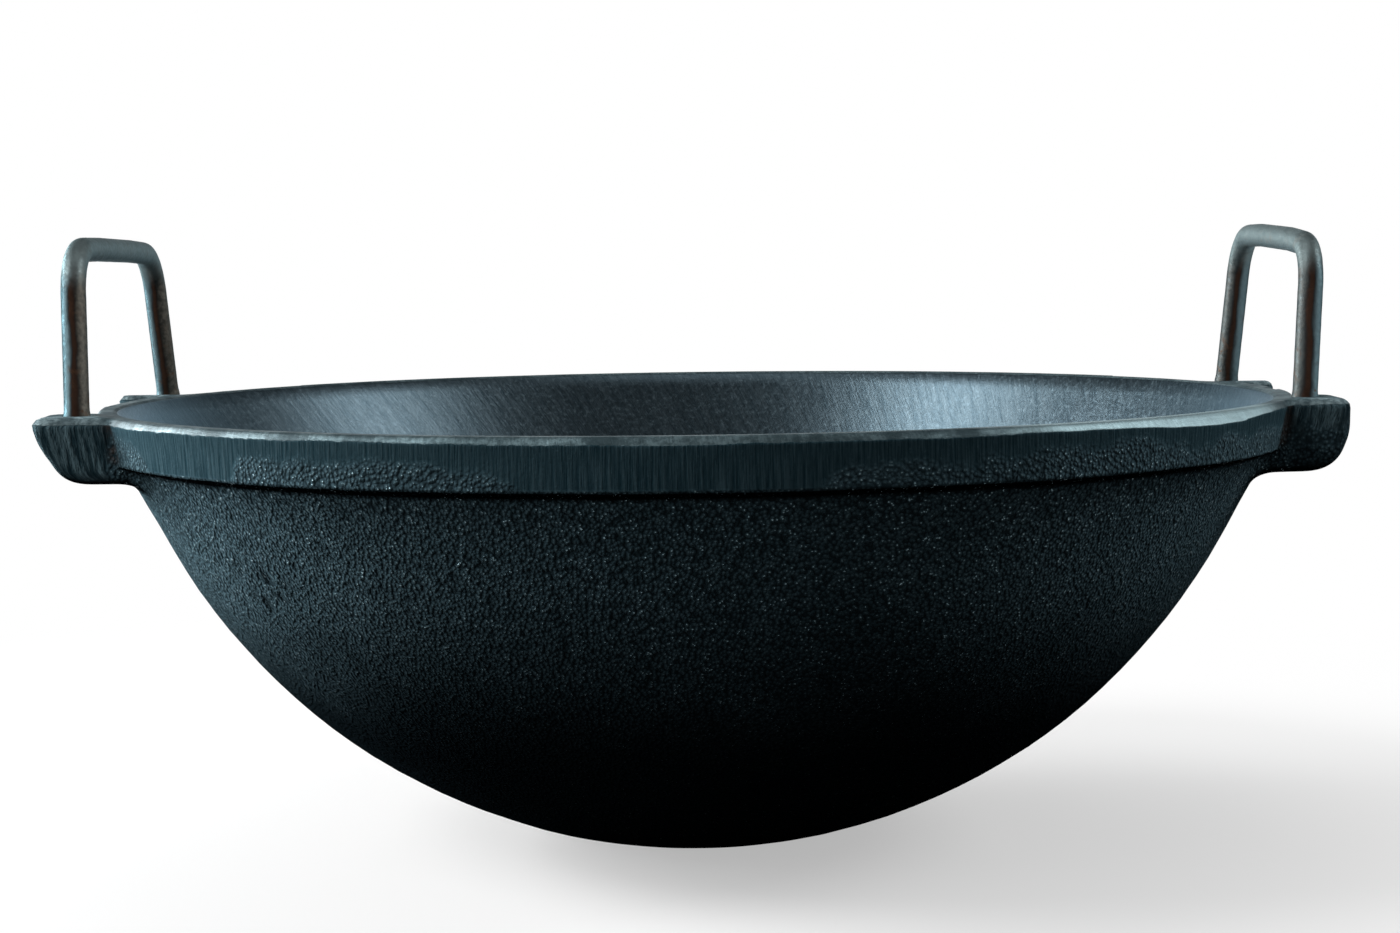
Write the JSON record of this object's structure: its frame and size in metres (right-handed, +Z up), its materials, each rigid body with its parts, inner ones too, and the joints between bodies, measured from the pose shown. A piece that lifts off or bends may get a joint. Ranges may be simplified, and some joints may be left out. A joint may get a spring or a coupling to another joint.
{
  "type": "kadai",
  "caption": "Round-bottomed cast-iron kadai with a thickened rim band and a bent steel-rod loop handle on each side, its legs cast into lugs on the rim.",
  "frame": {"origin": "middle of the ground flat that the bowl stands on, on the bowl's axis", "axes": "+Z up along the bowl's axis, X from the left handle at -X to the right handle at +X, front at -Y"},
  "size_m": [0.3165, 0.3, 0.1546],
  "materials": {
    "cast_iron": "oiled sand-cast skin, ground along the lip, band and inside",
    "handle_rod": "heat-tinted mild steel, lightly rusted at the feet"
  },
  "bodies": {
    "root": {"bowl": "cast_iron", "left_handle": "handle_rod", "right_handle": "handle_rod"}
  },
  "joints": []
}
